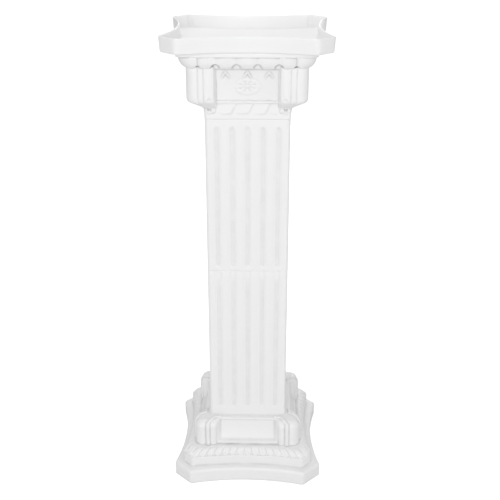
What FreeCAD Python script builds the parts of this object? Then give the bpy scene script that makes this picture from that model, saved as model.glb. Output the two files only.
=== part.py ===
import FreeCAD, Part
import math
import os

# Free-standing pedestal column of square plan, moulded in five hollow plastic sections that stack
# and plug together: base, lower shaft, upper shaft, capital and tray.
# Millimetres, +Z up, origin on the floor under the middle of the base, front of the column at -Y.

# ---- Driving dimensions ------------------------------------------------------------------------

WALL = 3.0                  # moulded wall of the base, capital and tray
SHAFT_WALL = 2.5            # moulded wall of the shafts and of every spigot
SOCKET_CLEAR = 0.8          # gap on each side between a spigot and the socket that drops over it
SPIGOT_HEIGHT = 30.0        # how far each section reaches up into the next one

# Foot: concave-sided slab with its corners cut off
FOOT_WIDTH = 300.0
FOOT_HEIGHT = 30.0
FOOT_CORNER_CUT = 35.5      # leg of the cut at each corner
FOOT_WAIST = 15.0           # how far the middle of a side draws in
FOOT_EDGE_ROUND = 5.0       # along the top edge
FOOT_CORNER_ROUND = 7.0     # upright edges
FOOT_OPENING = 224.0        # square trimmed out of the underside, which leaves a flat rim
FOOT_OPENING_ROUND = 20.0

# Leaf band on the foot: upright face, then a quarter-round drawing in to the tier above
BAND_PROUD = 13.0           # how far the middle of the face stands out past the tier
BAND_FACE_HEIGHT = 20.0
BAND_CURVE_HEIGHT = 16.0
BAND_WAIST = 11.5
BAND_CORNER_CUT = 19.0
BAND_LEDGE = 1.5            # flat left round the tier on top of the quarter-round
BAND_HEAD_CUT = 10.0        # leg of the cut at each corner of that flat

# Lobed tier, shared by base and capital: four corner lobes with a coved panel between each pair
TIER_PROUD = 30.0           # how far the tier stands out past the shaft
LOBE_ROLL_WIDTH = 15.0      # rounded roll beside the panel
LOBE_RIB_WIDTH = 11.0       # narrow rib beside the roll
LOBE_CORNER_RADIUS = 17.0   # big rounded corner of the lobe
LOBE_CORNER_WIDTH = 23.5    # from the tier's side to the first groove
LOBE_RELIEF = 1.8           # depth of the grooves between roll, rib and corner
LOBE_ROLL_CREST = 8.3       # from the panel to the roll's highest line
LOBE_ROLL_SETBACK = 4.5     # how far the roll turns in at the panel

# Base tier
BASE_TIER_HEIGHT = 54.0
BASE_TIER_ROUND = 15.0      # rounded top edge of the lobes
BASE_PANEL_SETBACK = 21.0   # how far the top of the cove lies behind the tier's face
BASE_PANEL_SPLAY = 10.0     # how far each side of the panel opens from back to front
BASE_COVE_FOOT = 4.0        # upright step under the cove
BASE_COVE_TURN = 12.0       # radius of the cove's tight end
PANEL_BEAD_RADIUS = 2.5

# Shafts
SHAFT_WIDTH = 154.0
SHAFT_CORNER_ROUND = 6.0
LOWER_SHAFT_HEIGHT = 326.0
UPPER_SHAFT_HEIGHT = 297.0
FLUTE_COUNT = 5             # on each face
FLUTE_WIDTH = 13.0
FLUTE_DEPTH = 2.2
FLUTE_FLATS = 4             # narrow flats that a flute's round hollow is made of
FLUTE_TIP = 5.0             # length over which a flute's end rises to the face
RIDGE_CREST = 9.0           # width of the ridge that backs a flute, at its crest
CORNER_LAND = 14.5          # plain band from a corner to the nearest flute
LOWER_FLUTE_START = 20.0    # plain foot of the lower shaft
UPPER_FLUTE_START = 8.0     # plain foot of the upper shaft
UPPER_FLUTE_STOP = 13.0     # plain head of the upper shaft

# Capital
NECK_PROUD = 0.5            # how far the neck stands out past the shaft below it
NECK_WALL = 4.0
NECK_HEIGHT = 20.0
CAPITAL_TIER_HEIGHT = 78.0
LOBE_FOOT_HEIGHT = 27.0     # rounded underside of the lobes
CAPITAL_PANEL_SETBACK = 23.0
CAPITAL_PANEL_SPLAY = 2.5
CAPITAL_COVE_TURN = 9.0     # radius of the cove's tight end
LOBE_FOOT_BULGE = 5.5       # how far the lobes' underside stands off its chord
PANEL_SILL_HEIGHT = 13.0    # from the bottom of the lobes to the panel's sill bead
EGG_BAND_HEIGHT = 19.0
EGG_PITCH = 36.5
END_EGG_WIDTH = 29.7        # the last egg before each corner
EGG_ROUND = 4.0             # how far an egg stands out between its two sides, seen from above
CORNER_EGG_ROUND = 18.4     # the same for the egg that wraps each corner
EGG_TIP_DROP = 3.5          # how far the eggs' tips hang below the band
EGG_GAP_RADIUS = 7.0        # round-headed gap between the tips of two eggs
EGG_FLATS = 4               # narrow flats that each of an egg's curves is made of
EGG_BULGE = 5.5             # how far their fronts stand off the chord from tip to lip
EGG_SET_BACK = 2.5          # from the lip's edge to the front of an egg
GROUND_SET_BACK = 12.0      # from the lip's edge to the ground behind the eggs
LIP_PROUD = 15.0            # how far the lip stands out past the tier
LIP_HEIGHT = 8.0
LIP_CORNER_ROUND = 12.0
MOUTH_WIDTH = 120.0         # square opening in the capital's top

# Tray: concave-sided dish
TRAY_WIDTH = 302.0
TRAY_HEIGHT = 27.5
TRAY_CORNER_CUT = 33.0
TRAY_WAIST = 22.0
TRAY_DRAFT = 2.0            # how far the wall leans in towards the bottom
TRAY_EDGE_BEVEL = 3.0       # under the tray, round the bottom edge
TRAY_CORNER_ROUND = 12.0    # upright edges
TRAY_PLUG_DEPTH = 14.0      # skirt under the tray that drops into the capital's mouth

# ---- Widths and levels worked out from them ----------------------------------------------------

TIER_WIDTH = SHAFT_WIDTH + 2 * TIER_PROUD
BAND_WIDTH = TIER_WIDTH + 2 * (BAND_PROUD + BAND_WAIST)
LIP_WIDTH = TIER_WIDTH + 2 * LIP_PROUD

Z_BAND = FOOT_HEIGHT
Z_BAND_CURVE = Z_BAND + BAND_FACE_HEIGHT
Z_BASE_TIER = Z_BAND_CURVE + BAND_CURVE_HEIGHT
Z_BASE_TOP = Z_BASE_TIER + BASE_TIER_HEIGHT
Z_SEAM = Z_BASE_TOP + LOWER_SHAFT_HEIGHT
Z_NECK = Z_SEAM + UPPER_SHAFT_HEIGHT
Z_LOBES = Z_NECK + NECK_HEIGHT
Z_SILL = Z_LOBES + PANEL_SILL_HEIGHT
Z_EGGS = Z_LOBES + CAPITAL_TIER_HEIGHT
Z_LIP = Z_EGGS + EGG_BAND_HEIGHT
Z_CAPITAL_TOP = Z_LIP + LIP_HEIGHT
Z_TOP = Z_CAPITAL_TOP + TRAY_HEIGHT

REACH = FOOT_WIDTH          # longer than any section is wide, for cutting tools
OVERRUN = 2.0               # how far a cutting tool runs past what it cuts
EDGE_STEPS = 2              # bevels that a rounded edge is made of


# ---- Shape helpers -----------------------------------------------------------------------------

def at(x, y, z):
    return FreeCAD.Vector(x, y, z)


def turned(shape, quarter):
    """A copy turned by that many quarter turns about the column's axis."""
    copy = shape.copy()
    copy.rotate(at(0, 0, 0), at(0, 0, 1), 90.0 * quarter)
    return copy


def all_round(shape):
    """The shape and its copies on the other three sides."""
    return [turned(shape, quarter) for quarter in range(4)]


def prism(edges, low, high):
    """Upright solid over a closed outline drawn at height 0."""
    face = Part.Face(Part.Wire(Part.__sortEdges__(edges)))
    face.translate(at(0, 0, low))
    return face.extrude(at(0, 0, high - low))


def upright_edges(shape):
    return [e for e in shape.Edges if abs(e.tangentAt(e.FirstParameter).z) > 0.9]


def rounded_square(width, radius, low, high):
    """Upright square post with rounded corners."""
    half = width / 2
    box = Part.makeBox(width, width, high - low, at(-half, -half, low))
    return box.makeFillet(radius, upright_edges(box))


def waisted_outline(width, cut, waist, z):
    """Square outline at height z, with cut corners and sides that draw in to a waist."""
    half = width / 2
    inner = half - cut
    edges = []
    for quarter in range(4):
        side = Part.Arc(at(-inner, -half, z), at(0, waist - half, z), at(inner, -half, z))
        corner = Part.makeLine(at(inner, -half, z), at(half, -inner, z))
        edges += [turned(side.toShape(), quarter), turned(corner, quarter)]
    return Part.Wire(Part.__sortEdges__(edges))


def ring(outline, corner_round, inset, z):
    """The outline with rounded corners, at height z and that far inside the full one."""
    core = outline.makeOffset2D(-corner_round)
    grown = core.makeOffset2D(corner_round - inset)
    outline = Part.Wire(Part.__sortEdges__(grown.Edges))
    outline.translate(at(0, 0, z))
    return outline


def edge_steps(radius):
    """Insets and heights up a rounded edge that is made of bevels, from upright to flat."""
    turns = [math.pi / 2 * step / EDGE_STEPS for step in range(EDGE_STEPS + 1)]
    return [(radius * (1 - math.cos(turn)), radius * math.sin(turn)) for turn in turns]


def profile_edges(path, side):
    """Edges up one side of a profile in the XZ plane. A step is a point, or an arc's (via, end)."""
    edges = []
    start = path[0]
    for step in path[1:]:
        if isinstance(step[0], tuple):
            via, end = step
            arc = Part.Arc(*[at(side * x, 0, z) for x, z in (start, via, end)])
            edges.append(arc.toShape())
        else:
            end = step
            edges.append(Part.makeLine(at(side * start[0], 0, start[1]), at(side * end[0], 0, end[1])))
        start = end
    return edges, path[0], start


def mitred(path):
    """Square moulding with that profile on all four sides, mitred at the corners."""
    right, low, high = profile_edges(path, 1)
    left, _, _ = profile_edges(path, -1)
    floor = Part.makeLine(at(-low[0], 0, low[1]), at(low[0], 0, low[1]))
    roof = Part.makeLine(at(-high[0], 0, high[1]), at(high[0], 0, high[1]))
    face = Part.Face(Part.Wire(Part.__sortEdges__(right + left + [floor, roof])))
    face.translate(at(0, -REACH / 2, 0))
    along = face.extrude(at(0, REACH, 0))
    return along.common(turned(along, 1))


def quarter_curve(start, end, bulge):
    """Via and end of an arc from start to end: bulge is how far its middle stands off the chord."""
    (x0, z0), (x1, z1) = start, end
    length = math.hypot(x1 - x0, z1 - z0)
    via = ((x0 + x1) / 2 + bulge * (z1 - z0) / length, (z0 + z1) / 2 - bulge * (x1 - x0) / length)
    return via, end


def flats(start, end, bulge, count):
    """Points along the same kind of arc, which share it out into that many flats."""
    (x0, z0), (x1, z1) = start, end
    length = math.hypot(x1 - x0, z1 - z0)
    spread = 2 * math.atan(2 * bulge / length)
    radius = length / 2 / math.sin(spread)
    points = []
    for flat in range(count + 1):
        turn = spread * (2 * flat / count - 1)
        along = 0.5 + radius * math.sin(turn) / length
        off = radius * (math.cos(turn) - math.cos(spread)) / length
        points.append((x0 + along * (x1 - x0) + off * (z1 - z0),
                       z0 + along * (z1 - z0) - off * (x1 - x0)))
    return points


# ---- Lobed tier --------------------------------------------------------------------------------

def tier_outline():
    """Plan of the tier: on each side, panel line, roll, rib and the rounded corner they end in."""
    half = TIER_WIDTH / 2
    groove = half - LOBE_RELIEF
    rib_outer = half - LOBE_CORNER_WIDTH
    rib_inner = rib_outer - LOBE_RIB_WIDTH
    roll_inner = rib_inner - LOBE_ROLL_WIDTH
    panel = half - LOBE_ROLL_SETBACK
    edges = []
    for quarter in range(4):
        front = Part.makeLine(at(-roll_inner, -panel, 0), at(roll_inner, -panel, 0))
        edges.append(turned(front, quarter))
        for side in (-1, 1):
            roll = Part.Arc(at(side * roll_inner, -panel, 0),
                            at(side * (roll_inner + LOBE_ROLL_CREST), -half, 0),
                            at(side * rib_inner, -groove, 0))
            rib = Part.Arc(at(side * rib_inner, -groove, 0),
                           at(side * (rib_inner + LOBE_RIB_WIDTH / 2), -half, 0),
                           at(side * rib_outer, -groove, 0))
            edges += [turned(roll.toShape(), quarter), turned(rib.toShape(), quarter)]
        out = LOBE_CORNER_RADIUS * (1 - math.sqrt(0.5))
        corner = Part.Arc(at(rib_outer, -groove, 0), at(half - out, out - half, 0),
                          at(groove, -rib_outer, 0))
        edges.append(turned(corner.toShape(), quarter))
    return edges


def lobe_inner():
    """Half the width of a panel at the tier's face."""
    return TIER_WIDTH / 2 - LOBE_CORNER_WIDTH - LOBE_RIB_WIDTH - LOBE_ROLL_WIDTH


def cove(setback, height, turn, skin):
    """Quarter-oval of two arcs, as a start and steps for profile_edges. It leaves (0, 0) upright and
    sweeps out to (setback, height). skin grows it into the wall behind."""
    wide = (setback ** 2 + (height - turn) ** 2 - turn ** 2) / (2 * (setback - turn))
    lean = math.atan2(height - turn, wide - setback)

    def on_wide(angle):
        return wide - (wide + skin) * math.cos(angle), (wide + skin) * math.sin(angle)

    def on_tight(angle):
        return (setback - (turn + skin) * math.cos(angle),
                height - turn + (turn + skin) * math.sin(angle))

    right_angle = math.pi / 2
    return [on_wide(0), (on_wide(lean / 2), on_wide(lean)),
            (on_tight((lean + right_angle) / 2), on_tight(right_angle))]


def panel_tool(back, front, splay, upright_end, swept_end, turn, skin):
    """Cutter for one panel at -Y: a cove that is upright at one end and sweeps out at the other.
    back and front are distances from the axis, splay is how far each side opens between them, and
    skin thickens the cutter into the wall."""
    height = abs(swept_end - upright_end)
    sign = 1 if swept_end > upright_end else -1

    def placed(point):
        return back + point[0], upright_end + sign * point[1]

    first, middle, last = cove(front - back, height, turn, skin)
    steps = [placed(first)] + [(placed(via), placed(end)) for via, end in (middle, last)]
    below = upright_end - sign * (OVERRUN + skin + PANEL_SILL_HEIGHT)
    swept = steps[-1][1]
    path = [(placed(first)[0], below)] + steps + [(REACH, swept[1])]
    edges, low, high = profile_edges(path, 1)
    edges.append(Part.makeLine(at(high[0], 0, high[1]), at(high[0], 0, low[1])))
    edges.append(Part.makeLine(at(high[0], 0, low[1]), at(low[0], 0, low[1])))
    face = Part.Face(Part.Wire(Part.__sortEdges__(edges)))
    face.translate(at(0, -TIER_WIDTH / 2, 0))
    hollow = turned(face.extrude(at(0, TIER_WIDTH, 0)), -1)
    mouth = lobe_inner() + skin
    slope = splay / (front - back)
    wide = mouth + slope * (REACH - front)
    narrow = mouth - slope * front
    wedge = Part.makePolygon([at(-wide, -REACH, 0), at(wide, -REACH, 0), at(narrow, 0, 0),
                              at(-narrow, 0, 0), at(-wide, -REACH, 0)])
    bottom, top = sorted((below, swept[1]))
    return hollow.common(prism(wedge.Edges, bottom - OVERRUN, top + OVERRUN))


def bead(distance, z):
    """Round moulding across one panel at -Y, with its ends in the lobes."""
    half = lobe_inner()
    return Part.makeCylinder(PANEL_BEAD_RADIUS, 2 * half, at(-half, -distance, z), at(1, 0, 0))


# ---- Flutes and spigots ------------------------------------------------------------------------

def flute_section(x, z):
    """Section of the flute centred on x: narrow flats round an arc, open to the front."""
    face = -SHAFT_WIDTH / 2
    hollow = flats((x - FLUTE_WIDTH / 2, face), (x + FLUTE_WIDTH / 2, face), -FLUTE_DEPTH, FLUTE_FLATS)
    points = [at(across, deep, z) for across, deep in hollow]
    return Part.makePolygon(points + [points[0]])


def flute_places():
    """Flute centre lines across a face."""
    span = SHAFT_WIDTH - 2 * CORNER_LAND - FLUTE_WIDTH
    return [span * (i / (FLUTE_COUNT - 1) - 0.5) for i in range(FLUTE_COUNT)]


def ridge_tools(low, high):
    """Cutters for the flat-sided ridges that back every flute inside a shaft."""
    wall = SHAFT_WIDTH / 2 - SHAFT_WALL
    foot = FLUTE_WIDTH / 2 + SHAFT_WALL
    crest = RIDGE_CREST / 2
    tools = []
    for x in flute_places():
        path = [at(x - foot, -wall, 0), at(x - crest, FLUTE_DEPTH - wall, 0),
                at(x + crest, FLUTE_DEPTH - wall, 0), at(x + foot, -wall, 0)]
        path += [at(x + foot, -wall - OVERRUN, 0), at(x - foot, -wall - OVERRUN, 0), path[0]]
        tools += all_round(prism(Part.makePolygon(path).Edges, low, high))
    return tools


def flute_tools(low, high, high_tip=True):
    """Cutters for every flute from low to high, each with pointed ends that rise to the face."""
    tools = []
    for x in flute_places():
        first = flute_section(x, low + FLUTE_TIP)
        last = flute_section(x, high - FLUTE_TIP if high_tip else high)
        stages = [Part.Vertex(at(x, -SHAFT_WIDTH / 2, low)), first, last]
        if high_tip:
            stages.append(Part.Vertex(at(x, -SHAFT_WIDTH / 2, high)))
        tools += all_round(Part.makeLoft(stages, True, True))
    return tools


def spigot(width, z):
    """Square spigot that stands on a section at z, and its bore, which runs down through the plate
    that it stands on."""
    corner = SHAFT_CORNER_ROUND - SHAFT_WALL
    outer = rounded_square(width, corner, z, z + SPIGOT_HEIGHT)
    bore = rounded_square(width - 2 * SHAFT_WALL, corner / 2,
                          z - WALL - OVERRUN, z + SPIGOT_HEIGHT + OVERRUN)
    return outer, bore


def shaft_spigot_width():
    """Width that fits between the ridges that the flutes make inside a shaft."""
    return SHAFT_WIDTH - 2 * (SHAFT_WALL + FLUTE_DEPTH + SOCKET_CLEAR)


def neck_spigot_width():
    return SHAFT_WIDTH + 2 * (NECK_PROUD - NECK_WALL - SOCKET_CLEAR)


# ---- Sections ----------------------------------------------------------------------------------

def foot_ring(inset, z):
    outline = waisted_outline(FOOT_WIDTH, FOOT_CORNER_CUT, FOOT_WAIST, 0)
    return ring(outline, FOOT_CORNER_ROUND, inset, z)


def foot():
    shoulder = FOOT_HEIGHT - FOOT_EDGE_ROUND
    rings = [foot_ring(0, 0)]
    rings += [foot_ring(inset, shoulder + rise) for inset, rise in edge_steps(FOOT_EDGE_ROUND)]
    return Part.makeLoft(rings, True, True)


def foot_hollow():
    return Part.Face(foot_ring(WALL, WALL)).extrude(at(0, 0, FOOT_HEIGHT - 2 * WALL))


def band():
    """Leaf band: upright face with waisted sides, and a bevelled quarter-round that draws in to the
    tier's square plan."""
    head = TIER_WIDTH + 2 * BAND_LEDGE
    rings = [waisted_outline(BAND_WIDTH, BAND_CORNER_CUT, BAND_WAIST, Z_BAND - OVERRUN)]
    for share, rise in edge_steps(1):
        rings.append(waisted_outline(BAND_WIDTH + share * (head - BAND_WIDTH),
                                     BAND_CORNER_CUT + share * (BAND_HEAD_CUT - BAND_CORNER_CUT),
                                     BAND_WAIST + share * (BAND_LEDGE - BAND_WAIST),
                                     Z_BAND_CURVE + rise * BAND_CURVE_HEIGHT))
    return Part.makeLoft(rings, True, True)


def band_hollow():
    face = BAND_WIDTH / 2 - BAND_WAIST - WALL
    return mitred([(face, Z_BAND - OVERRUN - 2 * WALL), (face, Z_BAND_CURVE - WALL),
                   (TIER_WIDTH / 2 - WALL, Z_BASE_TIER - WALL)])


def base_tier():
    half = TIER_WIDTH / 2
    block = prism(tier_outline(), Z_BASE_TIER - OVERRUN, Z_BASE_TOP)
    start = (half, Z_BASE_TOP - BASE_TIER_ROUND)
    end = (half - BASE_TIER_ROUND, Z_BASE_TOP)
    crown = mitred([(half, 0), start,
                    quarter_curve(start, end, BASE_TIER_ROUND * (1 - math.sqrt(0.5)))])
    return block.common(crown)


def base_panel(skin):
    half = TIER_WIDTH / 2
    return panel_tool(half - BASE_PANEL_SETBACK, half, BASE_PANEL_SPLAY, Z_BASE_TOP,
                      Z_BASE_TIER + BASE_COVE_FOOT, BASE_COVE_TURN, skin)


def base_hollow():
    """Everything inside the base's wall, open at the underside."""
    inner = TIER_WIDTH - 2 * (WALL + LOBE_RELIEF)
    tier = rounded_square(inner, LOBE_CORNER_RADIUS - WALL, Z_BAND, Z_BASE_TOP - WALL)
    start = (inner / 2, Z_BASE_TOP - BASE_TIER_ROUND)
    end = (TIER_WIDTH / 2 - BASE_TIER_ROUND, Z_BASE_TOP - WALL)
    crown = mitred([(inner / 2, 0), start, end])
    tier = tier.common(crown).cut(all_round(base_panel(WALL)))
    opening = rounded_square(FOOT_OPENING, FOOT_OPENING_ROUND, -OVERRUN, FOOT_HEIGHT)
    return [foot_hollow(), band_hollow(), tier, opening]


def make_base():
    tongue, bore = spigot(shaft_spigot_width(), Z_BASE_TOP)
    tier = base_tier().cut(all_round(base_panel(0)))
    half = TIER_WIDTH / 2
    sills = all_round(bead(half - BASE_PANEL_SETBACK, Z_BASE_TOP - PANEL_BEAD_RADIUS))
    body = foot().fuse([band(), tier, tongue] + sills)
    return body.cut(base_hollow() + [bore])


def shaft_tube(low, high, start, stop, high_tip=True):
    """Fluted tube from low to high with its wall following the flutes, and its hollow."""
    outer = rounded_square(SHAFT_WIDTH, SHAFT_CORNER_ROUND, low, high)
    inner_width = SHAFT_WIDTH - 2 * SHAFT_WALL
    hollow = rounded_square(inner_width, SHAFT_CORNER_ROUND - SHAFT_WALL, low - OVERRUN, high - WALL)
    outer = outer.cut(flute_tools(start, stop, high_tip))
    hollow = hollow.cut(ridge_tools(start, stop))
    return outer, hollow


def make_lower_shaft():
    outer, hollow = shaft_tube(Z_BASE_TOP, Z_SEAM, Z_BASE_TOP + LOWER_FLUTE_START,
                               Z_SEAM + OVERRUN, high_tip=False)
    tongue, bore = spigot(shaft_spigot_width(), Z_SEAM)
    return outer.fuse(tongue).cut([hollow, bore])


def make_upper_shaft():
    outer, hollow = shaft_tube(Z_SEAM, Z_NECK, Z_SEAM + UPPER_FLUTE_START, Z_NECK - UPPER_FLUTE_STOP)
    tongue, bore = spigot(neck_spigot_width(), Z_NECK)
    return outer.fuse(tongue).cut([hollow, bore])


def lobe_profile():
    """Outside of the lobes from the neck up to the egg band, rounded underneath."""
    start = (SHAFT_WIDTH / 2 + NECK_PROUD, Z_LOBES)
    end = (TIER_WIDTH / 2, Z_LOBES + LOBE_FOOT_HEIGHT)
    return [(start[0], Z_NECK - OVERRUN), start, quarter_curve(start, end, LOBE_FOOT_BULGE),
            (end[0], Z_EGGS)]


def lobe_hollow_profile():
    neck = SHAFT_WIDTH / 2 + NECK_PROUD - NECK_WALL
    inner = TIER_WIDTH / 2 - WALL - LOBE_RELIEF
    return [(neck, Z_NECK - OVERRUN), (neck, Z_LOBES + WALL), (inner, Z_LOBES + LOBE_FOOT_HEIGHT),
            (inner, Z_EGGS)]


def ground_profile(skin):
    """Sloping ground behind the eggs, or its inside at that wall."""
    start = (TIER_WIDTH / 2 - LOBE_ROLL_SETBACK - skin, Z_EGGS - OVERRUN)
    end = LIP_WIDTH / 2 - GROUND_SET_BACK - skin
    return [start, (end, Z_LIP), (end, Z_CAPITAL_TOP - skin)]


def egg_gaps():
    """Places along a side of the gaps between its eggs: three eggs at the pitch, and a narrower one
    beyond them at each end."""
    inner = EGG_PITCH / 2
    outer = inner + EGG_PITCH
    last = outer + END_EGG_WIDTH
    return [-last, -outer, -inner, inner, outer, last]


def egg_outline():
    """Plan of the egg row, with one more egg round each corner."""
    valley = LIP_WIDTH / 2 - EGG_SET_BACK - EGG_ROUND
    gaps = egg_gaps()
    plan = []
    for left, right in zip(gaps, gaps[1:]):
        plan += flats((left, -valley), (right, -valley), EGG_ROUND, EGG_FLATS)[:-1]
    plan += flats((gaps[-1], -valley), (valley, gaps[0]), CORNER_EGG_ROUND, 2 * EGG_FLATS)
    side = Part.makePolygon([at(x, y, 0) for x, y in plan])
    return [edge for copy in all_round(side) for edge in copy.Edges]


def egg_gap(x):
    """Cutter for the gap centred on x, between the tips of two eggs."""
    low = Z_EGGS - EGG_TIP_DROP
    left = x - EGG_GAP_RADIUS
    right = x + EGG_GAP_RADIUS
    arch = flats((left, low), (right, low), -EGG_GAP_RADIUS, EGG_FLATS)
    path = [(left, low - OVERRUN)] + arch + [(right, low - OVERRUN), (left, low - OVERRUN)]
    face = Part.Face(Part.makePolygon([at(across, -REACH / 2, z) for across, z in path]))
    return face.extrude(at(0, REACH, 0))


def eggs():
    """Egg moulding under the lip: the scalloped row, rounded in to its foot, with a gap between the
    tips of every two eggs."""
    tip = (TIER_WIDTH / 2 - LOBE_ROLL_SETBACK, Z_EGGS - EGG_TIP_DROP)
    top = (LIP_WIDTH / 2, Z_LIP)
    front = mitred(flats(tip, top, EGG_BULGE, EGG_FLATS) + [(LIP_WIDTH / 2, Z_CAPITAL_TOP)])
    row = prism(egg_outline(), tip[1], Z_LIP + LIP_HEIGHT / 2).common(front)
    gaps = [egg_gap(x) for x in egg_gaps()]
    return row.cut(gaps + [turned(gap, 1) for gap in gaps])


def capital_panel(skin):
    half = TIER_WIDTH / 2
    return panel_tool(half - CAPITAL_PANEL_SETBACK, half - LOBE_ROLL_SETBACK, CAPITAL_PANEL_SPLAY,
                      Z_SILL, Z_EGGS, CAPITAL_COVE_TURN, skin)


def make_capital():
    half = TIER_WIDTH / 2
    neck = rounded_square(SHAFT_WIDTH + 2 * NECK_PROUD, SHAFT_CORNER_ROUND, Z_NECK, Z_SILL)
    lobes = prism(tier_outline(), Z_LOBES, Z_EGGS).common(mitred(lobe_profile()))
    lobes = lobes.cut(all_round(capital_panel(0)))
    lip = rounded_square(LIP_WIDTH, LIP_CORNER_ROUND, Z_LIP, Z_CAPITAL_TOP)
    sills = all_round(bead(half - CAPITAL_PANEL_SETBACK, Z_SILL))
    body = neck.fuse([lobes, mitred(ground_profile(0)), eggs(), lip] + sills)
    hollow = mitred(lobe_hollow_profile()).cut(all_round(capital_panel(WALL)))
    mouth = rounded_square(MOUTH_WIDTH, SHAFT_CORNER_ROUND, Z_EGGS, Z_CAPITAL_TOP + OVERRUN)
    return body.cut([hollow, mitred(ground_profile(WALL)), mouth])


def tray_ring(inset, z):
    """Tray outline at height z, drawn in by the draft of the wall."""
    outline = waisted_outline(TRAY_WIDTH, TRAY_CORNER_CUT, TRAY_WAIST, 0)
    draft = TRAY_DRAFT * (Z_TOP - z) / TRAY_HEIGHT
    return ring(outline, TRAY_CORNER_ROUND, inset + draft, z)


def make_tray():
    dish = Part.makeLoft([tray_ring(TRAY_EDGE_BEVEL, Z_CAPITAL_TOP),
                          tray_ring(0, Z_CAPITAL_TOP + TRAY_EDGE_BEVEL), tray_ring(0, Z_TOP)], True, True)
    well = Part.makeLoft([tray_ring(WALL, Z_CAPITAL_TOP + WALL), tray_ring(WALL, Z_TOP + OVERRUN)],
                         True, True)
    skirt = MOUTH_WIDTH - 2 * SOCKET_CLEAR
    corner = SHAFT_CORNER_ROUND
    plug = rounded_square(skirt, corner, Z_CAPITAL_TOP - TRAY_PLUG_DEPTH, Z_CAPITAL_TOP + WALL / 2)
    hollow = rounded_square(skirt - 2 * WALL, corner - WALL,
                            Z_CAPITAL_TOP - TRAY_PLUG_DEPTH - OVERRUN, Z_CAPITAL_TOP)
    return dish.cut(well).fuse(plug).cut(hollow)


SECTIONS = {
    "base": make_base,
    "lower_shaft": make_lower_shaft,
    "upper_shaft": make_upper_shaft,
    "capital": make_capital,
    "tray": make_tray,
}

os.makedirs("parts", exist_ok=True)
for name, make in SECTIONS.items():
    solid = make().removeSplitter()
    print(name, solid.ShapeType, len(solid.Solids), solid.isValid(), round(solid.Volume))
    solid.exportStep(f"parts/{name}.step")
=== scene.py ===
import math

import bpy
import numpy as np
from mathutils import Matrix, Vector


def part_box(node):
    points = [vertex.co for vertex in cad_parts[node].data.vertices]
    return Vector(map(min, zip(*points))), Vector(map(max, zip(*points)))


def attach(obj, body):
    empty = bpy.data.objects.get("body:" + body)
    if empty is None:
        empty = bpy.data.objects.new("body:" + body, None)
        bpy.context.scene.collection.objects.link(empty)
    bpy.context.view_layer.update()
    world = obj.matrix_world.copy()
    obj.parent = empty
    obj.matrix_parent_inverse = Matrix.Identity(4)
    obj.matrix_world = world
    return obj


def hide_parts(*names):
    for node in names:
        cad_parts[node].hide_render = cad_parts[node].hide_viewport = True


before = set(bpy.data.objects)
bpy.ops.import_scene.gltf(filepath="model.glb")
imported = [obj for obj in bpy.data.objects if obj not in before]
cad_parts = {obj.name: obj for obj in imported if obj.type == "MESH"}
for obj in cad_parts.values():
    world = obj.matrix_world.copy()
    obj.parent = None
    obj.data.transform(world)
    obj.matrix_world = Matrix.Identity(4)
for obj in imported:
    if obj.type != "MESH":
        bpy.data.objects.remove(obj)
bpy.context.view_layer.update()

# White moulded pedestal column in five hollow sections. Each section is one closed mesh, drawn in
# millimetres as rows of points up its outside and down its inside. One side is worked out and
# turned onto the other three. x runs along a side and d is the distance out from the axis.

MM = 0.001


def reach_mm(section):
    """Half-width, lowest and highest level of a section."""
    low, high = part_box(section)
    return (high.x - low.x) / 2 / MM, low.z / MM, high.z / MM


# ---- Levels and widths taken from the frame -----------------------------------------------------

SHAFT_HALF, Z_BASE_TOP, Z_LOWER_SPIGOT = reach_mm("lower_shaft")
_, Z_SEAM, Z_NECK_SPIGOT = reach_mm("upper_shaft")
LIP_HALF, Z_NECK, Z_RIM = reach_mm("capital")
_, Z_SKIRT, Z_TOP = reach_mm("tray")

# ---- Driving dimensions -------------------------------------------------------------------------

WALL = 3.0
SHAFT_WALL = 2.5
SPIGOT_HEIGHT = Z_LOWER_SPIGOT - Z_SEAM
SHAFT_SPIGOT_HALF = 71.5
NECK_SPIGOT_HALF = 72.7
SOFT_EDGE = 1.0             # radius on every moulded edge

FOOT = {"half": 150.0, "cut": 35.5, "waist": 15.0, "corner": 7.0}
FOOT_HEIGHT = 30.0
FOOT_EDGE = 6.5
FOOT_OPENING_HALF = 112.0
BAND = {"half": 131.5, "cut": 19.0, "waist": 11.5, "corner": 9.0}
BAND_FACE_HEIGHT = 20.0
BAND_CURVE_HEIGHT = 16.0
LEAVES = 8                  # from the middle of a side to the corner
LEAF_RISE = 1.7
LEAF_VEIN = 0.8
LEAF_DART = 1.3
BAND_LEDGE = 1.5
BAND_FILLET = 2.0           # where the band meets the foot
BAND_LEAF_SET = 1.2         # how far the leaves' foot stands back from the band's face

TIER_HALF = 107.0
TIER_CORNER = 17.0
TIER_STRAIGHT = TIER_HALF - TIER_CORNER
CORNER_ROLL_WIDTH = 21.5
RIB_WIDTH = 9.5
RIB_MIDDLE = TIER_HALF - CORNER_ROLL_WIDTH - RIB_WIDTH / 2
CORNER_CREST = 9.0          # from the corner to the highest line of its round
GROOVE_DEPTH = 2.3
GROOVE_CUT = 0.3            # each round runs on this far, so that it ends in a steep edge
HOLLOW_SET = 4.8            # the hollow stays this far inside the tier's widest lines
ROLL_SETBACK = 4.5

BASE_MOUTH = 64.0           # half the width of a base panel at the front
BASE_SPLAY = 10.0
BASE_ROLL_CREST = 6.5
BASE_TIER_HEIGHT = 54.0
BASE_TIER_ROUND = 15.0
BASE_PANEL_BACK = 86.0
BASE_COVE_TURN = 12.0
BASE_COVE_FOOT = 4.0
BEAD_RADIUS = 2.5
ARCH_BEAD_RISE = 2.6
ARCH_BEAD_HALF = 3.4
ARCH_PATH = ((RIB_MIDDLE, -60.0), (RIB_MIDDLE, 10.0), (69.0, 29.0), (0.0, 29.0))

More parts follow.
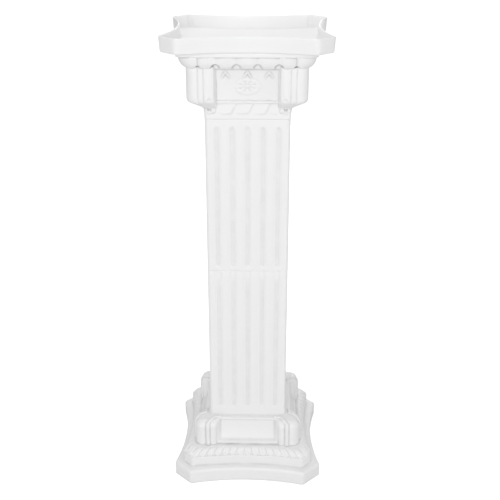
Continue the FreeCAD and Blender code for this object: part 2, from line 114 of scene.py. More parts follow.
SHAFT_CORNER = 6.0
FLUTE_PLACES = (-56.0, -28.0, 0.0, 28.0, 56.0)
FLUTE_HALF = 6.5
FLUTE_DEPTH = 2.2
FLUTE_STEP = 1.05           # spacing of lines in a flute, beside one, and of rows up plain lengths
FILLET_STEP = 3.2
LONG_STEP = 14.0
FLUTE_RUN_OUT = 15.0        # length over which a flute's end rises to the face
LOWER_FLUTE_START = 20.0
UPPER_FLUTE_START = 8.0
UPPER_FLUTE_STOP = 13.0

NECK_HALF = 77.5
NECK_WALL = 4.0
NECK_HEIGHT = 20.0
TONGUE_PITCH = 30.4
TONGUE_LEAN = 0.48
TONGUE_START = 6.7          # x of one tongue's edge at the lobes' foot
TONGUE_RISE = 1.7
LOBE_UNDERSIDE = math.radians(29.0)
LOBE_FOOT_ROUND = 11.0
CAPITAL_MOUTH = 57.5
CAPITAL_SPLAY = 4.0
CAPITAL_ROLL_CREST = 10.0
CAPITAL_PANEL_BACK = 84.0
CAPITAL_COVE_TURN = 9.0
SILL_RISE = 13.0
ROSETTE = {"across": 20.5, "up": 13.5, "above_sill": 28.5}
GABLE_LEAF_PLACES = (-38.0, 0.0, 38.0)
CURL_EYE_AT = 68.3          # x of a curl's eye, and of the drop and dent beside it
CURL_DROP_AT = 60.5
CURL_DENT_AT = 66.5
CAPITAL_TIER_HEIGHT = 78.0
LIP_HEIGHT = 8.0
LIP_CORNER = 12.0
GROUND_TOP_HALF = 110.0
EGG_GAPS = (18.25, 54.75, 84.45)
EGG_GAP_SHARES = (1.0, 1.0, 0.5)
EGG_VALLEY = 2.4
EGG_LINE = 2.0              # depth of the fine line beside each corner egg
EGG_TIP_DROP = 3.5
EGG_TIP_HALF = 103.0
EGG_FRONT_HALF = 119.5
EGG_GAP_HALF = 8.6          # round-headed gap between the tips of two eggs
EGG_GAP_HEIGHT = 10.0
EGG_GAP_SINK = 2.4
MOUTH_HALF = 60.0

TRAY = {"half": 151.0, "cut": 32.0, "waist": 22.0, "corner": 12.0}
TRAY_DRAFT = 2.0
TRAY_BEVEL = 3.0
TRAY_FLOOR = 3.0
TRAY_COVE = 4.0
SKIRT_HALF = 59.2

Z_BAND_CURVE = FOOT_HEIGHT + BAND_FACE_HEIGHT
Z_BASE_TIER = Z_BAND_CURVE + BAND_CURVE_HEIGHT
Z_LOBES = Z_NECK + NECK_HEIGHT
Z_SILL = Z_LOBES + SILL_RISE
Z_EGGS = Z_LOBES + CAPITAL_TIER_HEIGHT
Z_LIP = Z_RIM - LIP_HEIGHT


# ---- Number helpers -----------------------------------------------------------------------------

def smooth_step(value, start, end):
    t = np.clip((value - start) / (end - start), 0.0, 1.0)
    return t * t * (3.0 - 2.0 * t)


def soft_min(a, b, radius):
    """The lower of two surfaces, with the edge between them rounded."""
    low = np.minimum(a, b)
    gap = np.abs(a - b)
    return low - np.maximum(radius - gap, 0.0) ** 2 / (4.0 * radius)


def soft_max(a, b, radius):
    return -soft_min(-a, -b, radius)


def dome(distance):
    """Height of a round dome of radius 1 at that distance from its middle."""
    return np.sqrt(np.clip(1.0 - distance ** 2, 0.0, 1.0))


def spaced(*stretches):
    """Positions along a line. Each stretch is (start, end, step)."""
    parts = []
    for start, end, step in stretches:
        count = max(1, round(abs(end - start) / step))
        parts.append(np.linspace(start, end, count + 1)[:-1])
    return np.concatenate(parts + [[stretches[-1][1]]])


def quarter_round(start, end, steps):
    """Points (inset, z) of a quarter oval after start, up to end. It leaves start level."""
    turns = np.linspace(0.0, math.pi / 2, steps + 1)[1:]
    (inset0, z0), (inset1, z1) = start, end
    return [(inset0 + (inset1 - inset0) * math.sin(t), z0 + (z1 - z0) * (1 - math.cos(t)))
            for t in turns]


# ---- Sides and meshes ---------------------------------------------------------------------------

NEIGHBOURS = ((3, 0), (-3, 0), (0, 3), (0, -3), (2, 2), (-2, 2), (2, -2), (-2, -2))
FULL_HOLLOW = 0.9           # depth below the points around it at which a hollow counts in full
CREASE = math.radians(48)   # edges sharper than this stay sharp


class Side:
    """The upright lines of points along one side, from the middle of a corner to the next."""

    def __init__(self, positions, corner_steps):
        arc = np.linspace(0.0, math.pi / 4, corner_steps + 1)[1:]
        run = np.concatenate([positions, np.full(corner_steps, positions[-1])])
        turn = np.concatenate([np.zeros(len(positions)), arc])
        self.run = np.concatenate([-run[:0:-1], run])[1:]
        self.turn = np.concatenate([-turn[:0:-1], turn])[1:]
        self.share = np.linspace(-1.0, 1.0, 2 * len(run) - 1)[1:]
        self.reach = positions[-1]

    def square(self, half, corner, z, fixed=0.0):
        """Row on a square with rounded corners. Lines nearer the middle than fixed stay upright."""
        flat = half - corner
        far = np.abs(self.run)
        beyond = fixed + (far - fixed) * (flat - fixed) / (self.reach - fixed)
        x = np.sign(self.run) * np.where(far <= fixed, far, beyond) + corner * np.sin(self.turn)
        return np.stack([x, flat + corner * np.cos(self.turn), np.full_like(x, z)])

    def waisted(self, plan, inset, z):
        """Row on a square with cut, rounded corners and sides that draw in to a waist."""
        half, cut, waist, corner = (plan[key] for key in ("half", "cut", "waist", "corner"))
        sweep = ((half - cut) ** 2 + waist ** 2) / (2.0 * waist)
        middle = half - waist + sweep
        bevel = 2.0 * half - cut - corner * math.sqrt(2.0)
        b = middle - bevel
        x_corner = (-b + math.sqrt(2.0 * (sweep + corner) ** 2 - b ** 2)) / 2.0
        lean = math.asin(x_corner / (sweep + corner))
        grown = corner - inset
        along = np.linspace(0.0, lean, 60)
        round_ = np.linspace(-lean, math.pi / 4, 24)
        x = np.concatenate([(sweep + inset) * np.sin(along), x_corner + grown * np.sin(round_),
                            [(bevel + grown * math.sqrt(2.0)) / 2.0]])
        d = np.concatenate([middle - (sweep + inset) * np.cos(along),
                            bevel - x_corner + grown * np.cos(round_), x[-1:]])
        length = np.concatenate([[0.0], np.cumsum(np.hypot(np.diff(x), np.diff(d)))])
        at = np.abs(self.share) * length[-1]
        side_x = np.sign(self.share) * np.interp(at, length, x)
        return np.stack([side_x, np.interp(at, length, d), np.full_like(side_x, z)])


def between(first, last, steps):
    """Rows from the first to the last, both left out."""
    return [first + (last - first) * step / steps for step in range(1, steps)]


def outward(grid):
    """Unit normals of a grid of (row, xdz, line) points."""
    up = np.gradient(grid, axis=0)
    along = np.gradient(grid, axis=2)
    normal = np.stack([up[:, 2] * along[:, 1] - along[:, 2] * up[:, 1],
                       along[:, 0] * up[:, 2] - along[:, 2] * up[:, 0],
                       along[:, 1] * up[:, 0] - along[:, 0] * up[:, 1]], axis=1)
    normal[:, 0] *= -1.0
    return normal / np.maximum(np.linalg.norm(normal, axis=1, keepdims=True), 1e-9)


def raised(grid, relief):
    """The grid with its points moved out along their normals."""
    return grid + outward(grid) * relief[:, None, :]


def hollowness(grid):
    """How far each point lies in a hollow (1) or on an edge (-1), from the points around it."""
    sums = np.zeros_like(grid)
    for rows, lines in NEIGHBOURS:
        sums += np.roll(np.roll(grid, rows, axis=0), lines, axis=2)
    lift = np.sum((sums / len(NEIGHBOURS) - grid) * outward(grid), axis=1)
    lift[:, :3] = lift[:, 3:4]
    lift[:, -3:] = lift[:, -4:-3]
    return np.clip(lift / FULL_HOLLOW, -1.0, 1.0)


def section(name, grid, closed=True):
    """Closed mesh of one section: the side's grid turned onto all four sides. An open profile is
    closed by a point on the axis at each end."""
    rows, _, across = grid.shape
    x, d, z = grid[:, 0], grid[:, 1], grid[:, 2]
    points = np.zeros((rows, 4, across, 3))
    for quarter in range(4):
        turn = quarter * math.pi / 2
        points[:, quarter, :, 0] = x * math.cos(turn) + d * math.sin(turn)
        points[:, quarter, :, 1] = x * math.sin(turn) - d * math.cos(turn)
        points[:, quarter, :, 2] = z
    around = 4 * across
    points = points.reshape(-1, 3)
    spans = rows if closed else rows - 1
    row = np.arange(spans)[:, None]
    line = np.arange(around)[None, :]
    above = (row + 1) % rows
    beside = (line + 1) % around
    quads = np.stack([row * around + line, row * around + beside,
                      above * around + beside, above * around + line], axis=2).reshape(-1, 4)
    faces = quads.tolist()
    hollow = np.repeat(hollowness(grid)[:, None, :], 4, axis=1).reshape(-1)
    if not closed:
        poles = np.array([[0.0, 0.0, z[0, 0]], [0.0, 0.0, z[-1, 0]]])
        low_pole, high_pole = len(points), len(points) + 1
        points = np.concatenate([points, poles])
        last = (rows - 1) * around
        faces += [[low_pole, (c + 1) % around, c] for c in range(around)]
        faces += [[high_pole, last + c, last + (c + 1) % around] for c in range(around)]
        hollow = np.concatenate([hollow, [0.0, 0.0]])
    mesh = bpy.data.meshes.new(name)
    mesh.from_pydata((points * MM).tolist(), [], faces)
    attribute = mesh.attributes.new("hollow", "FLOAT", "POINT")
    attribute.data.foreach_set("value", hollow.astype(np.float32))
    mesh.shade_smooth()
    mesh.set_sharp_from_angle(angle=CREASE)
    piece = bpy.data.objects.new(name, mesh)
    bpy.context.scene.collection.objects.link(piece)
    return piece


# ---- Lobed tier shared by base and capital ------------------------------------------------------

def lobe_relief(side, mouth, crest_set):
    """Relief of roll, rib and corner across a lobe, for each line of a side."""
    from_corner = TIER_HALF - np.abs(side.run) - TIER_CORNER * np.abs(side.turn)
    rib_start = CORNER_ROLL_WIDTH
    rib_end = rib_start + RIB_WIDTH
    crest = TIER_HALF - mouth - crest_set
    corner_share = (from_corner - CORNER_CREST) / (rib_start - CORNER_CREST + 0.4)
    corner = dome(np.clip(corner_share, 0.0, 1.0)) - 1.0
    rib = dome((from_corner - rib_start - RIB_WIDTH / 2) / (RIB_WIDTH / 2 + GROOVE_CUT)) - 1.0
    roll_out = dome((from_corner - crest) / (rib_end - crest - GROOVE_CUT)) - 1.0
    roll_in = dome((from_corner - crest) / (crest_set + GROOVE_CUT)) - 1.0
    relief = np.where(from_corner < rib_start, GROOVE_DEPTH * corner, GROOVE_DEPTH * rib)
    relief = np.where(from_corner > rib_end, GROOVE_DEPTH * roll_out, relief)
    return np.where(from_corner > crest, ROLL_SETBACK * roll_in, relief)


def cove_offset(fall, setback, height, turn):
    """How far a cove has swept out at a distance from its upright end."""
    wide = (setback ** 2 + (height - turn) ** 2 - turn ** 2) / (2.0 * (setback - turn))
    lean = math.atan2(height - turn, wide - setback)
    fall = np.clip(fall, 0.0, height)
    on_wide = wide - np.sqrt(wide ** 2 - np.minimum(fall, wide * math.sin(lean)) ** 2)
    on_tight = setback - np.sqrt(np.maximum(turn ** 2 - (fall - height + turn) ** 2, 0.0))
    return np.where(fall < wide * math.sin(lean), on_wide, on_tight)


def recessed(x, face, floor, mouth, splay):
    """Distance out where a panel is sunk into a tier, with softened side walls."""
    sunk = smooth_step(np.abs(x), mouth + 1.0, mouth - splay)
    return face + np.minimum(floor - face, 0.0) * sunk


def plan_lengths(grid):
    """Length along each row of a grid from the middle of the side, seen from above."""
    steps = np.hypot(np.diff(grid[:, 0], axis=1), np.diff(grid[:, 1], axis=1))
    lengths = np.concatenate([np.zeros((len(grid), 1)), np.cumsum(steps, axis=1)], axis=1)
    return lengths - lengths[:, [grid.shape[2] // 2]]


def to_path(x, y, path):
    """Distance of each point from a bent line."""
    nearest = np.full(np.broadcast(x, y).shape, 1e3)
    for (x0, y0), (x1, y1) in zip(path, path[1:]):
        reach = (x1 - x0) ** 2 + (y1 - y0) ** 2
        share = np.clip(((x - x0) * (x1 - x0) + (y - y0) * (y1 - y0)) / reach, 0.0, 1.0)
        off = np.hypot(x - x0 - share * (x1 - x0), y - y0 - share * (y1 - y0))
        nearest = np.minimum(nearest, off)
    return nearest


# ---- Base ---------------------------------------------------------------------------------------

def leaf_relief(along, rise):
    """Row of broad hanging leaves with a dart between each pair. along counts leaves from the
    middle of a side and rise goes from 0 at their tips to 1 at the tier."""
    inside = smooth_step(rise, -0.02, 0.06) * (1.0 - smooth_step(rise, 0.86, 1.0))
    off = np.abs((along + 0.5) % 1.0 - 0.5)
    width = 0.42 * np.clip(rise * 2.4 + 0.25, 0.0, 1.0) ** 0.5
    leaf = dome(np.clip(off / width, 0.0, 1.0)) * LEAF_RISE
    vein = LEAF_VEIN * np.exp(-(off / 0.055) ** 2)
    dart = LEAF_DART * np.clip(1.0 - np.abs(off - 0.5) / 0.075, 0.0, 1.0) * (1.0 - rise)
    return (leaf - vein * (leaf > 0.3) + dart) * inside


def arch_relief(x, over):
    """Bead up each rib, slanting in over the lobe's rounded top to meet the sill bead. over is the
    length up the profile from where the lobe starts to round."""
    off = to_path(np.abs(x), over, ARCH_PATH)
    return ARCH_BEAD_RISE * dome(np.clip(off / ARCH_BEAD_HALF, 0.0, 1.0))


def base_inside(side):
    """Rows down the inside of the base, from the plate under the spigot to the rim it stands on."""
    rows = []
    flat = TIER_HALF - BASE_TIER_ROUND
    for z in spaced((Z_BASE_TOP - WALL, Z_BASE_TIER + 1.0, 3.0)):
        half = min(TIER_HALF - HOLLOW_SET, flat + (Z_BASE_TOP - WALL - z))
        row = side.square(half, TIER_CORNER - WALL, z, BASE_MOUTH - WALL)
        floor = base_cove(z) - WALL
        row[1] = recessed(np.abs(row[0]) - WALL, row[1], floor, BASE_MOUTH, BASE_SPLAY)
        rows.append(row)
    rows += [side.waisted(BAND, BAND["waist"] + WALL, z)
             for z in (Z_BAND_CURVE - WALL, FOOT_HEIGHT - WALL)]
    rows += [side.waisted(FOOT, WALL, FOOT_HEIGHT - WALL), side.waisted(FOOT, WALL, WALL)]
    rows += [side.square(FOOT_OPENING_HALF, 20.0, z) for z in (WALL, SOFT_EDGE)]
    rows.append(side.square(FOOT_OPENING_HALF + SOFT_EDGE, 20.0, 0.0))
    return rows


def base_cove(z):
    """Distance out of the base panels' floor at a height."""
    cove_height = BASE_TIER_HEIGHT - BASE_COVE_FOOT
    return BASE_PANEL_BACK + cove_offset(Z_BASE_TOP - z, TIER_HALF - BASE_PANEL_BACK, cove_height,
                                         BASE_COVE_TURN)


def base_grid():
    side = Side(spaced((0, 50, 1.15), (50, 66, 0.8), (66, TIER_STRAIGHT, 0.9)), 10)
    lobes = lobe_relief(side, BASE_MOUTH, BASE_ROLL_CREST)
    rows = [side.waisted(FOOT, SOFT_EDGE, 0.0)]
    rows += [side.waisted(FOOT, 0.0, z) for z in spaced((SOFT_EDGE, FOOT_HEIGHT - FOOT_EDGE, 4.0))]
    for turn in spaced((0.0, math.pi / 2, math.pi / 14))[1:]:
        inset = FOOT_EDGE * (1.0 - math.cos(turn))
        rows.append(side.waisted(FOOT, inset, FOOT_HEIGHT - FOOT_EDGE * (1.0 - math.sin(turn))))
    band_foot = side.waisted(BAND, -BAND_FILLET, FOOT_HEIGHT)
    rows += between(rows[-1], band_foot, 8) + [band_foot]
    rows += [side.waisted(BAND, inset, z)
             for inset, z in quarter_round((-BAND_FILLET, FOOT_HEIGHT),
                                           (0.0, FOOT_HEIGHT + BAND_FILLET), 4)]
    rows += [side.waisted(BAND, 0.0, z)
             for z in spaced((FOOT_HEIGHT + 3.0, Z_BAND_CURVE - 1.0, 2.5))]
    rows.append(side.waisted(BAND, 0.4, Z_BAND_CURVE - 0.3))
    first_leaf = len(rows)
    for turn in spaced((0.0, math.pi / 2, math.pi / 44)):
        z = Z_BAND_CURVE + BAND_CURVE_HEIGHT * math.sin(turn)
        low = side.waisted(BAND, BAND_LEAF_SET, z)
        high = side.square(TIER_HALF + BAND_LEDGE, TIER_CORNER + BAND_LEDGE, z, BASE_MOUTH)
        rows.append(low + (high - low) * (1.0 - math.cos(turn)))
    last_leaf = len(rows)
    straight_top = Z_BASE_TOP - BASE_TIER_ROUND
    levels = spaced((Z_BASE_TIER + 0.3, Z_BASE_TIER + 6.0, 0.7),
                    (Z_BASE_TIER + 6.0, straight_top, 1.3))
    tier = [(TIER_HALF, z, z - straight_top) for z in levels]
    tier += [(TIER_HALF - BASE_TIER_ROUND * (1.0 - math.cos(t)),
              straight_top + BASE_TIER_ROUND * math.sin(t), BASE_TIER_ROUND * t)
             for t in spaced((0.0, math.pi / 2, math.pi / 50))[1:]]
    for half, z, over in tier:
        row = side.square(half, TIER_CORNER - TIER_HALF + half, z, BASE_MOUTH)
        face = row[1] + lobes * (1.0 - 0.8 * max(over, 0.0) / tier[-1][2])
        bead_z = min(abs(z - Z_BASE_TOP + BEAD_RADIUS) / BEAD_RADIUS, 1.0)
        floor = base_cove(z) + BEAD_RADIUS * math.sqrt(1.0 - bead_z ** 2)
        row[1] = recessed(row[0], face, floor, BASE_MOUTH, BASE_SPLAY)
        rows.append(row)
    overs = [step[2] for step in tier]
    plate = side.square(SHAFT_SPIGOT_HALF + SOFT_EDGE, 4.5, Z_BASE_TOP)
    ledge = between(rows[-1], plate, 20)
    flat = TIER_HALF - BASE_TIER_ROUND
    overs += [tier[-1][2] + flat - float(row[1].max()) for row in ledge]
    rows += ledge + [plate]
    rows += spigot_rows(side, SHAFT_SPIGOT_HALF, Z_BASE_TOP)
    rows += base_inside(side)
    grid = np.stack(rows)
    relief = np.zeros((len(rows), len(side.run)))
    x, z = grid[:, 0], grid[:, 2]
    lengths = plan_lengths(grid[first_leaf:last_leaf])
    along = lengths / lengths[:, -1:] * LEAVES
    rise = (z[first_leaf:last_leaf] - Z_BAND_CURVE) / BAND_CURVE_HEIGHT
    relief[first_leaf:last_leaf] = leaf_relief(along, rise)
    tier_rows = slice(last_leaf, last_leaf + len(overs))
    arches = arch_relief(x[tier_rows], np.array(overs)[:, None])
    on_lobe = smooth_step(np.abs(x[tier_rows]), BASE_MOUTH - 12.0, BASE_MOUTH - 6.0)
    relief[tier_rows] = arches * on_lobe
    return raised(grid, relief)


def spigot_rows(side, half, z):
    """Rows up a spigot, over its rim and down its bore, to the underside of the plate it is on."""
    top = z + SPIGOT_HEIGHT
    inner = half - SHAFT_WALL
    steps = [(half, z + SOFT_EDGE), (half, z + 10.0), (half, z + 20.0), (half, top - SOFT_EDGE),
             (half - 0.3, top - 0.3), (half - SOFT_EDGE, top), (inner + SOFT_EDGE, top),
             (inner + 0.3, top - 0.3), (inner, top - SOFT_EDGE), (inner, z + 12.0),
             (inner, z - WALL)]
    return [side.square(width, 3.5 if width > inner + 1.2 else 1.75, level)
            for width, level in steps]



# ---- Shafts -------------------------------------------------------------------------------------

def flute_relief(x, z, low, high):
    """Round-ended flutes between two levels, with a softened edge."""
    radius = (FLUTE_HALF ** 2 + FLUTE_DEPTH ** 2) / (2.0 * FLUTE_DEPTH)
    relief = np.zeros_like(x)
    past = np.maximum(np.maximum(low + FLUTE_RUN_OUT - z, z - high + FLUTE_RUN_OUT), 0.0)
    past = np.minimum(past / FLUTE_RUN_OUT, 1.2)
    for place in FLUTE_PLACES:
        off = np.hypot(x - place, past ** 2 * FLUTE_HALF)
        depth = np.sqrt(np.maximum(radius ** 2 - off ** 2, 0.0)) - radius + FLUTE_DEPTH
        relief -= soft_max(depth, np.zeros_like(depth), 0.4)
    return relief


def shaft_grid(low, high, flute_low, flute_high, spigot_half):
    edge = FLUTE_HALF
    stretches = [(0.0, edge, FLUTE_STEP)]
    for place in FLUTE_PLACES[3:]:
        start, stop = place - FLUTE_HALF, place + FLUTE_HALF
        stretches += [(edge, start, FILLET_STEP), (start, stop, FLUTE_STEP)]
        edge = stop
    side = Side(spaced(*stretches, (edge, SHAFT_HALF - SHAFT_CORNER, 2.5)), 5)
    levels = [low + SOFT_EDGE]
    for end in (flute_low, flute_high):
        if low + 2.0 < end - 2.0 < high:
            levels += list(spaced((end - FLUTE_RUN_OUT, end + FLUTE_RUN_OUT, 0.9)))
    plain = spaced((low + SOFT_EDGE, high - SOFT_EDGE, LONG_STEP))
    levels = np.unique(np.round(np.concatenate([levels, plain]), 2))
    levels = levels[(levels > low + 0.8) & (levels < high - 0.8)]
    levels = levels[np.concatenate([[True], np.diff(levels) > 0.3])]
    rows = [side.square(SHAFT_HALF - 0.6, SHAFT_CORNER - 0.6, low)]
    rows += [side.square(SHAFT_HALF, SHAFT_CORNER, z) for z in levels]
    rows += [side.square(SHAFT_HALF - 0.3, SHAFT_CORNER - 0.3, high - 0.3),
             side.square(SHAFT_HALF - SOFT_EDGE, SHAFT_CORNER - SOFT_EDGE, high)]
    outside = len(rows)
    plate = side.square(spigot_half + SOFT_EDGE, 4.0, high)
    rows += between(rows[-1], plate, 3) + [plate]
    rows += spigot_rows(side, spigot_half, high)
    inner = SHAFT_HALF - SHAFT_WALL
    plate_end = len(rows)
    rows += [side.square(inner, SHAFT_CORNER - SHAFT_WALL, z)
             for z in spaced((high - WALL, low + SOFT_EDGE, LONG_STEP))]
    rows.append(side.square(inner + 0.6, SHAFT_CORNER - SHAFT_WALL, low))
    grid = np.stack(rows)
    relief = flute_relief(grid[:, 0], grid[:, 2], flute_low, flute_high)
    relief[outside:plate_end] = 0.0
    grid[:, 1] += relief
    return grid


# ---- Capital ------------------------------------------------------------------------------------

def tongue_relief(x, z):
    """Slanting tongues round the neck: each rises slowly to the right and drops at its edge."""
    along = ((x - TONGUE_START - TONGUE_LEAN * (z - Z_LOBES)) / TONGUE_PITCH) % 1.0
    tongue = np.where(along < 0.9, (along / 0.9) ** 1.3, (1.0 - along) / 0.1)
    tip = Z_NECK + 9.5 + 9.0 * np.clip(0.62 - along, 0.0, 1.0) ** 2
    tip = tip + 5.0 * np.clip(along - 0.8, 0.0, 1.0)
    inside = smooth_step(z, tip, tip + 2.5) * (1.0 - smooth_step(z, Z_SILL - 4.5, Z_SILL - 2.0))
    return TONGUE_RISE * tongue * inside * (1.0 - smooth_step(np.abs(x), 50.0, 56.0))


def rosette_relief(x, z):
    """Oval rosette: a soft outer ring round faint petals and a raised eye."""
    across = x / ROSETTE["across"]
    up = (z - Z_SILL - ROSETTE["above_sill"]) / ROSETTE["up"]
    radius = np.hypot(across, up)
    angle = np.arctan2(up, across)
    ring = 1.2 * np.exp(-((radius - 0.9) / 0.17) ** 2) * (0.75 + 0.25 * np.cos(8.0 * angle))
    petals = 0.9 * np.exp(-((radius - 0.48) / 0.2) ** 2) * np.cos(4.0 * angle) ** 2
    eye = 1.3 * dome(np.clip(radius / 0.2, 0.0, 1.0))
    return ring + petals + eye


def small_leaf_relief(x, z):
    """Small gabled leaves that hang under the middle three eggs."""
    relief = np.zeros_like(x)
    for place in GABLE_LEAF_PLACES:
        off = np.abs(x - place)
        gable = (Z_EGGS - 11.0 - 1.25 * off - z) / 2.6
        stroke = dome(np.clip(np.abs(gable), 0.0, 1.0)) * (1.0 - smooth_step(off, 5.5, 8.0))
        relief = np.maximum(relief, 2.2 * stroke)
    return relief


def egg_relief(unfolded, z, corner_at):
    """Share of the egg row's front that stands at each point, and the depth of the valleys between
    its eggs. The row has round-headed gaps between its tips and a fine line beside each corner
    egg."""
    v = np.abs(unfolded)
    low = Z_EGGS - EGG_TIP_DROP
    solid = np.ones_like(v)
    for gap, share in zip(EGG_GAPS, EGG_GAP_SHARES):
        height = EGG_GAP_HEIGHT * (0.5 + share / 2)
        off = np.hypot((v - gap) / (EGG_GAP_HALF * share), (z - low) / height)
        solid = np.minimum(solid, smooth_step(off, 0.78, 1.08))
    valley = np.zeros_like(v)
    ends = (-EGG_GAPS[0],) + EGG_GAPS + (2 * corner_at - EGG_GAPS[-1],)
    for left, right in zip(ends, ends[1:]):
        share = np.clip(np.abs(2.0 * v - left - right) / (right - left), 0.0, 1.0)
        between_gaps = (v >= left) & (v <= right)
        valley = np.where(between_gaps, 0.5 - 0.5 * np.cos(math.pi * share ** 2), valley)
    line = np.exp(-((v - EGG_GAPS[-1]) / 1.1) ** 2)
    return solid, EGG_VALLEY * valley + EGG_LINE * line


def curl_relief(x, along):
    """Curl at the foot of each inner roll: a dark eye beside the neck inside a raised ring, a drop
    that hangs from it and a dent in the roll above."""
    x = np.abs(x)
    off = np.hypot(x - CURL_EYE_AT, along + 1.5)
    ring = 1.5 * np.exp(-((off - 6.0) / 1.7) ** 2)
    eye = 4.5 * dome(np.clip(off / 3.4, 0.0, 1.0))
    drop_off = np.hypot((x - CURL_DROP_AT) / 4.6, (along + 1.5) / 7.0)
    dent_off = np.hypot((x - CURL_DENT_AT) / 4.0, (along - 37.0) / 3.4)
    drop = 2.6 * dome(np.clip(drop_off, 0.0, 1.0))
    dent = 1.8 * dome(np.clip(dent_off, 0.0, 1.0))
    return np.maximum(ring, drop) - eye - dent


def lobe_foot():
    """Steps up the lobes from the neck, as half-width, height and length: a straight underside and
    a tight round up into the side."""
    turn = LOBE_UNDERSIDE
    steps = [(NECK_HALF, Z_LOBES, 0.0)]
    bend_half = TIER_HALF - LOBE_FOOT_ROUND * (1.0 - math.sin(turn))
    run = (bend_half - NECK_HALF) / math.cos(turn)
    for length in spaced((0.0, run, 0.9))[1:]:
        steps.append((NECK_HALF + length * math.cos(turn), Z_LOBES + length * math.sin(turn),
                      length))
    middle = steps[-1][1] + LOBE_FOOT_ROUND * math.cos(turn)
    for angle in spaced((turn, math.pi / 2, 0.08))[1:]:
        steps.append((TIER_HALF - LOBE_FOOT_ROUND * (1.0 - math.sin(angle)),
                      middle - LOBE_FOOT_ROUND * math.cos(angle),
                      run + LOBE_FOOT_ROUND * (angle - turn)))
    return steps


def capital_cove(z):
    """Distance out of the capital panels' floor at a height."""
    setback = TIER_HALF - ROLL_SETBACK - CAPITAL_PANEL_BACK
    return CAPITAL_PANEL_BACK + cove_offset(z - Z_SILL, setback, Z_EGGS - Z_SILL,
                                            CAPITAL_COVE_TURN)


def lobed_row(side, lobes, half, z, length):
    """Row of the capital's tier: lobes, panel floor and sill bead."""
    grow = (half - NECK_HALF) / (TIER_HALF - NECK_HALF)
    row = side.square(half, SHAFT_CORNER + (TIER_CORNER - SHAFT_CORNER) * grow, z, CAPITAL_MOUTH)
    face = row[1] + lobes * smooth_step(length, 8.0, 34.0)
    bead = BEAD_RADIUS * dome(np.clip(np.abs(z - Z_SILL) / BEAD_RADIUS, 0.0, 1.0))
    wave = 0.6 * np.cos(row[0] * 2.0 * math.pi / 19.0) * (bead > 0.5)
    floor = np.where(z > Z_SILL - BEAD_RADIUS, capital_cove(z) + bead + wave, NECK_HALF)
    row[1] = recessed(row[0], face, floor, CAPITAL_MOUTH, CAPITAL_SPLAY)
    return row


def egg_rows(side, lobes):
    """Rows up the egg moulding, which swells out from its tips to the lip."""
    rows = []
    low = Z_EGGS - EGG_TIP_DROP
    for turn in spaced((0.0, math.pi / 2, math.pi / 64)):
        z = low + (Z_LIP - 0.2 - low) * (1.0 - math.cos(turn))
        climb = (z - low) / (Z_LIP - low)
        ground = TIER_HALF - ROLL_SETBACK + (GROUND_TOP_HALF - TIER_HALF + ROLL_SETBACK) * climb
        corner = TIER_CORNER + (LIP_CORNER - TIER_CORNER) * climb
        row = side.square(ground, corner, z, CAPITAL_MOUTH)
        round_corner = ground - corner + corner * np.abs(side.turn)
        unfolded = np.where(side.turn == 0.0, np.abs(row[0]), round_corner)
        front = EGG_TIP_HALF + (EGG_FRONT_HALF - EGG_TIP_HALF) * math.sin(turn)
        solid, valley = egg_relief(unfolded, z, ground - corner + corner * math.pi / 4)
        egg = np.maximum((front - ground - valley * math.sin(turn)) * solid, 0.0)
        egg -= EGG_GAP_SINK * (1.0 - solid)
        row[0] += egg * np.sin(side.turn)
        row[1] += egg * np.cos(side.turn)
        if z < Z_EGGS:
            lobe = lobed_row(side, lobes, TIER_HALF, z, 60.0)
            row = np.where(np.hypot(lobe[0], lobe[1]) > np.hypot(row[0], row[1]), lobe, row)
        rows.append(row)
    return rows


def capital_inside(side):
    """Rows down the inside of the capital, from under its top to the foot of its neck."""
    half, corner = GROUND_TOP_HALF - WALL, LIP_CORNER - WALL
    rows = [side.square(half, corner, Z_RIM - WALL), side.square(half, corner, Z_LIP),
            side.square(TIER_HALF - ROLL_SETBACK - WALL, corner, Z_EGGS + WALL)]
    for z in spaced((Z_EGGS, Z_SILL, 4.0)):
        half = min(TIER_HALF - HOLLOW_SET, NECK_HALF - WALL + (z - Z_LOBES - WALL) * 1.1)
        row = side.square(half, TIER_CORNER - WALL, z, CAPITAL_MOUTH - WALL)
        row[1] = recessed(np.abs(row[0]) - WALL, row[1], capital_cove(z) - WALL, CAPITAL_MOUTH,
                          CAPITAL_SPLAY)
        rows.append(row)
    inner = NECK_HALF - NECK_WALL
    return rows + [side.square(inner, 3.0, z) for z in (Z_LOBES + WALL, Z_LOBES - 8.0, Z_NECK)]


